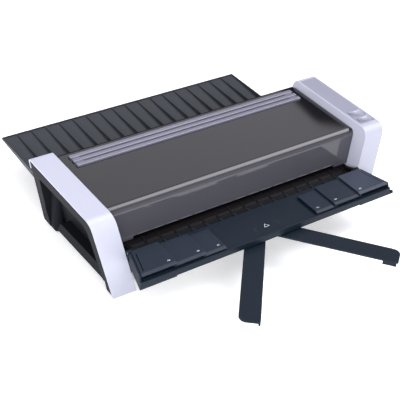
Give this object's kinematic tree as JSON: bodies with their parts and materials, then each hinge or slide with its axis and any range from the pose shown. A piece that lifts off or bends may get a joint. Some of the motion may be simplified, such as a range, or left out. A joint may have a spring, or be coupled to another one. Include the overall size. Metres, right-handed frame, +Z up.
{
  "type": "pouch laminator",
  "caption": "Desktop pouch laminator with a folding input tray, sliding paper guides, swing-out support arms, a folding rear tray and heated rollers.",
  "frame": {"origin": "centre of the whole machine's footprint, on the table, with both trays and both support arms open", "axes": "+Z up, +Y from the input tray towards the output tray, +X across the machine towards the end cap with the buttons"},
  "size_m": [0.474, 0.4926, 0.1194],
  "materials": {
    "white_shell": "satin white moulded plastic",
    "silver_panel": "silver-painted plastic",
    "silver_trim": "silver-painted plastic",
    "smoke_cover": "smoke-grey lacquer with a fine metallic flake",
    "dark_frame": "fine-grained dark grey",
    "tray_plastic": "fine-grained blue-black",
    "foot_rubber": "matte",
    "steel": "plated",
    "bronze": "sintered",
    "bearing_plastic": "heat-resistant black",
    "silicone": "smooth red-brown silicone",
    "gear_plastic": "natural acetal",
    "heater_aluminium": "extruded",
    "motor_steel": "zinc-plated",
    "circuit_board": "solder-resist green",
    "black_plastic": "moulded black"
  },
  "bodies": {
    "chassis": {"left_cap_shell": "white_shell", "right_cap_shell": "white_shell", "left_end_frame": "dark_frame", "right_end_frame": "dark_frame", "rubber_feet": "foot_rubber", "control_panel": "silver_panel", "front_cover": "smoke_cover", "vent_trim": "silver_trim", "rear_panel": "dark_frame", "base_pan": "dark_frame", "entry_guide": "dark_frame", "upper_entry_guide": "steel", "exit_guide": "steel", "tray_hinge_pins": "steel", "output_hinge_pins": "steel", "left_side_plate": "steel", "right_side_plate": "steel", "tie_bars": "steel", "lower_bushes": "bronze", "upper_bearing_blocks": "bearing_plastic", "pressure_springs": "steel", "drive_motor": "motor_steel", "upper_heater_plate": "heater_aluminium", "lower_heater_plate": "heater_aluminium", "thermostat": "motor_steel", "power_board": "circuit_board", "control_board": "circuit_board", "entry_sensor": "bearing_plastic", "mains_inlet": "black_plastic", "switch_frame": "black_plastic", "case_screws": "steel"},
    "input_tray": {"input_tray": "tray_plastic", "arm_pivot_pins": "steel", "left_outer_guide": "tray_plastic", "right_outer_guide": "tray_plastic"},
    "left_support_arm": {"left_support_arm": "tray_plastic"},
    "right_support_arm": {"right_support_arm": "tray_plastic"},
    "output_tray": {"output_tray": "tray_plastic"},
    "power_button": {"power_button": "white_shell"},
    "mode_button": {"mode_button": "white_shell"},
    "switch_rocker": {"switch_rocker": "black_plastic"},
    "motor_output": {"drive_gear": "gear_plastic", "drive_shaft": "steel"},
    "left_middle_guide": {"left_middle_guide": "tray_plastic"},
    "left_inner_guide": {"left_inner_guide": "tray_plastic"},
    "right_middle_guide": {"right_middle_guide": "tray_plastic"},
    "right_inner_guide": {"right_inner_guide": "tray_plastic"},
    "front_lower_roller": {"front_lower_shaft": "steel", "front_lower_sleeve": "silicone", "front_lower_gear": "gear_plastic"},
    "front_upper_roller": {"front_upper_shaft": "steel", "front_upper_sleeve": "silicone", "front_upper_gear": "gear_plastic"},
    "rear_lower_roller": {"rear_lower_shaft": "steel", "rear_lower_sleeve": "silicone", "rear_lower_gear": "gear_plastic"},
    "rear_upper_roller": {"rear_upper_shaft": "steel", "rear_upper_sleeve": "silicone", "rear_upper_gear": "gear_plastic"}
  },
  "joints": [
    {"name": "input_tray_fold", "type": "hinge", "parent": "chassis", "child": "input_tray", "pos_m": [0, -0.07566, 0.062], "axis": [-1, 0, 0], "range_deg": [0, 70]},
    {"name": "output_tray_fold", "type": "hinge", "parent": "chassis", "child": "output_tray", "pos_m": [0, 0.11434, 0.0405], "axis": [1, 0, 0], "range_deg": [0, 90]},
    {"name": "left_arm_swing", "type": "hinge", "parent": "input_tray", "child": "left_support_arm", "pos_m": [-0.016, -0.11166, 0.048], "axis": [0, 0, -1], "range_deg": [0, 50.5]},
    {"name": "left_middle_guide_slide", "type": "slide", "parent": "input_tray", "child": "left_middle_guide", "axis": [-1, 0, 0], "range_m": [0, 0.036]},
    {"name": "left_inner_guide_slide", "type": "slide", "parent": "left_middle_guide", "child": "left_inner_guide", "axis": [-1, 0, 0], "range_m": [0, 0.031]},
    {"name": "right_arm_swing", "type": "hinge", "parent": "input_tray", "child": "right_support_arm", "pos_m": [0.016, -0.11166, 0.048], "axis": [0, 0, 1], "range_deg": [0, 50.5]},
    {"name": "right_middle_guide_slide", "type": "slide", "parent": "input_tray", "child": "right_middle_guide", "axis": [1, 0, 0], "range_m": [0, 0.036]},
    {"name": "right_inner_guide_slide", "type": "slide", "parent": "right_middle_guide", "child": "right_inner_guide", "axis": [1, 0, 0], "range_m": [0, 0.031]},
    {"name": "power_button_press", "type": "slide", "parent": "chassis", "child": "power_button", "axis": [0, 0, -1], "range_m": [0, 0.001], "stiffness_N_per_m": 400},
    {"name": "mode_button_press", "type": "slide", "parent": "chassis", "child": "mode_button", "axis": [0, 0, -1], "range_m": [0, 0.001], "stiffness_N_per_m": 400},
    {"name": "power_switch_rock", "type": "hinge", "parent": "chassis", "child": "switch_rocker", "pos_m": [0.082, 0.09981, 0.0275], "axis": [1, 0, 0], "range_deg": [0, 14]},
    {"name": "front_lower_roller_spin", "type": "hinge", "parent": "chassis", "child": "front_lower_roller", "pos_m": [0, 0.00134, 0.04685], "axis": [1, 0, 0], "continuous": true},
    {"name": "front_upper_roller_spin", "type": "hinge", "parent": "chassis", "child": "front_upper_roller", "pos_m": [0, 0.00134, 0.07115], "axis": [1, 0, 0], "continuous": true},
    {"name": "rear_lower_roller_spin", "type": "hinge", "parent": "chassis", "child": "rear_lower_roller", "pos_m": [0, 0.05804, 0.04685], "axis": [1, 0, 0], "continuous": true},
    {"name": "rear_upper_roller_spin", "type": "hinge", "parent": "chassis", "child": "rear_upper_roller", "pos_m": [0, 0.05804, 0.07115], "axis": [1, 0, 0], "continuous": true},
    {"name": "motor_output_spin", "type": "hinge", "parent": "chassis", "child": "motor_output", "pos_m": [0, 0.02969, 0.04685], "axis": [1, 0, 0], "continuous": true}
  ],
  "couplings": [
    {"joint": "front_upper_roller_spin", "follows": "front_lower_roller_spin", "ratio": -1},
    {"joint": "rear_lower_roller_spin", "follows": "front_lower_roller_spin", "ratio": 1},
    {"joint": "rear_upper_roller_spin", "follows": "front_lower_roller_spin", "ratio": -1},
    {"joint": "motor_output_spin", "follows": "front_lower_roller_spin", "ratio": -0.75}
  ]
}
